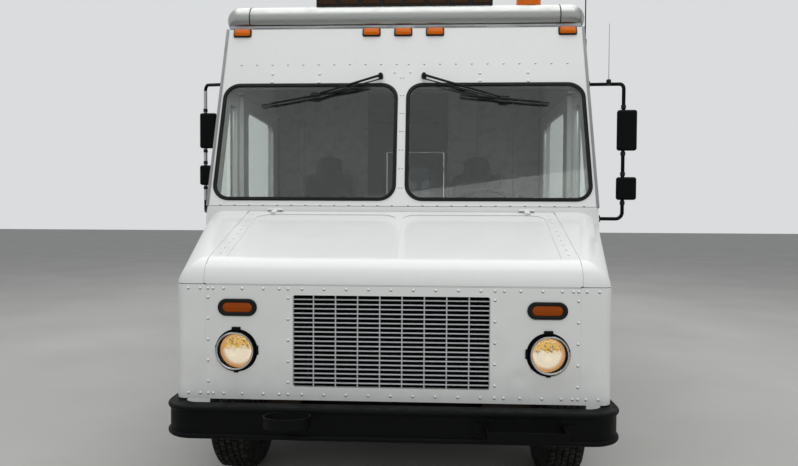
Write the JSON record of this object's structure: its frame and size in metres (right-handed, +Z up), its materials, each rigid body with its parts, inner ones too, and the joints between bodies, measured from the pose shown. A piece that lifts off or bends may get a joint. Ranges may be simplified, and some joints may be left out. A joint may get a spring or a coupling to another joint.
{
  "type": "step van food truck",
  "caption": "Walk-in step van food truck with short sloping hood, split windscreen, sliding cab doors, serving hatch with shelf, and dual rear wheels.",
  "frame": {"origin": "on the road, under the centre of the truck's outer box", "axes": "+X to the driver's side, +Y to the rear, +Z up; the nose points along -Y"},
  "size_m": [2.93, 6.8632, 3.305],
  "materials": {
    "aluminium": "satin",
    "amber": "gloss",
    "black_paint": "satin",
    "black_plastic": "matt",
    "chrome": "polished",
    "glass": "gloss",
    "grey_panel": "satin",
    "iron": "matt",
    "red": "gloss",
    "rubber": "matt",
    "seat_cloth": "matt",
    "steel": "satin",
    "tyre": "matt",
    "white_paint": "satin"
  },
  "bodies": {
    "body": {"frame_rails": "black_paint", "engine_block": "iron", "radiator": "aluminium", "front_axle": "iron", "rear_axle": "iron", "leaf_springs": "iron", "fuel_tank": "black_paint", "exhaust": "steel", "front_bumper": "black_paint", "bumper_brackets": "black_paint", "nose_panel": "white_paint", "fenders": "white_paint", "grille": "aluminium", "headlamp_rings": "chrome", "headlamp_lenses": "glass", "lamp_housings": "black_plastic", "amber_lenses": "amber", "cab_front": "white_paint", "side_wall_left": "white_paint", "side_wall_right": "white_paint", "rear_wall": "white_paint", "roof": "white_paint", "roof_cap": "white_paint", "floor": "grey_panel", "bulkhead": "grey_panel", "cab_glass": "glass", "windscreen_seals": "rubber", "wipers": "black_plastic", "rear_bumper": "steel", "rear_lamps": "red", "mirrors": "black_paint", "antennas": "black_plastic", "roof_fan": "steel", "seats": "seat_cloth", "seat_bases": "black_paint", "dashboard": "black_plastic", "steering_wheel": "black_plastic", "serving_counter": "steel", "cook_line": "steel"},
    "hood": {"hood": "white_paint"},
    "door_left": {"door_left": "white_paint", "door_left_glass": "glass"},
    "door_right": {"door_right": "white_paint", "door_right_glass": "glass"},
    "hatch": {"serving_hatch": "white_paint"},
    "shelf": {"serving_shelf": "steel"},
    "rear_door": {"rear_door": "white_paint", "rear_door_glass": "glass"},
    "steer_left": {"knuckle_left": "iron"},
    "steer_right": {"knuckle_right": "iron"},
    "tie_rod": {"tie_rod": "iron"},
    "wheel_front_left": {"front_rim_left": "steel", "front_tyre_left": "tyre"},
    "wheel_front_right": {"front_rim_right": "steel", "front_tyre_right": "tyre"},
    "wheel_rear_left": {"rear_rims_left": "steel", "rear_tyres_left": "tyre"},
    "wheel_rear_right": {"rear_rims_right": "steel", "rear_tyres_right": "tyre"}
  },
  "joints": [
    {"name": "hood_hinge", "type": "hinge", "parent": "body", "child": "hood", "pos_m": [0, -2.17737, 1.565], "axis": [-1, 0, 0], "range_deg": [0, 65]},
    {"name": "door_left_slide", "type": "slide", "parent": "body", "child": "door_left", "axis": [0, 1, 0], "range_m": [0, 0.8]},
    {"name": "door_right_slide", "type": "slide", "parent": "body", "child": "door_right", "axis": [0, 1, 0], "range_m": [0, 0.8]},
    {"name": "hatch_hinge", "type": "hinge", "parent": "body", "child": "hatch", "pos_m": [-1.232, 1.45163, 2.569], "axis": [0, 1, 0], "range_deg": [0, 90]},
    {"name": "shelf_hinge", "type": "hinge", "parent": "body", "child": "shelf", "pos_m": [-1.232, 1.45163, 1.66], "axis": [0, 1, 0], "range_deg": [0, 90]},
    {"name": "rear_door_hinge", "type": "hinge", "parent": "body", "child": "rear_door", "pos_m": [0.439, 3.21363, 1.645], "axis": [0, 0, -1], "range_deg": [0, 110]},
    {"name": "steer_left", "type": "hinge", "parent": "body", "child": "steer_left", "pos_m": [0.8, -2.22837, 0.4075], "axis": [0, 0, 1], "range_deg": [-32, 32]},
    {"name": "steer_right", "type": "hinge", "parent": "body", "child": "steer_right", "pos_m": [-0.8, -2.22837, 0.4075], "axis": [0, 0, 1], "range_deg": [-32, 32]},
    {"name": "tie_rod_pivot", "type": "hinge", "parent": "steer_left", "child": "tie_rod", "pos_m": [0.8, -2.05337, 0.3042], "axis": [0, 0, 1], "range_deg": [-32, 32]},
    {"name": "front_left_spin", "type": "hinge", "parent": "steer_left", "child": "wheel_front_left", "pos_m": [0.937, -2.22837, 0.4075], "axis": [1, 0, 0], "continuous": true},
    {"name": "rear_left_spin", "type": "hinge", "parent": "body", "child": "wheel_rear_left", "pos_m": [0.943, 1.76163, 0.4075], "axis": [1, 0, 0], "continuous": true},
    {"name": "front_right_spin", "type": "hinge", "parent": "steer_right", "child": "wheel_front_right", "pos_m": [-0.937, -2.22837, 0.4075], "axis": [1, 0, 0], "continuous": true},
    {"name": "rear_right_spin", "type": "hinge", "parent": "body", "child": "wheel_rear_right", "pos_m": [-0.943, 1.76163, 0.4075], "axis": [1, 0, 0], "continuous": true}
  ],
  "couplings": [
    {"joint": "steer_right", "follows": "steer_left", "ratio": 1},
    {"joint": "tie_rod_pivot", "follows": "steer_left", "ratio": -1}
  ]
}
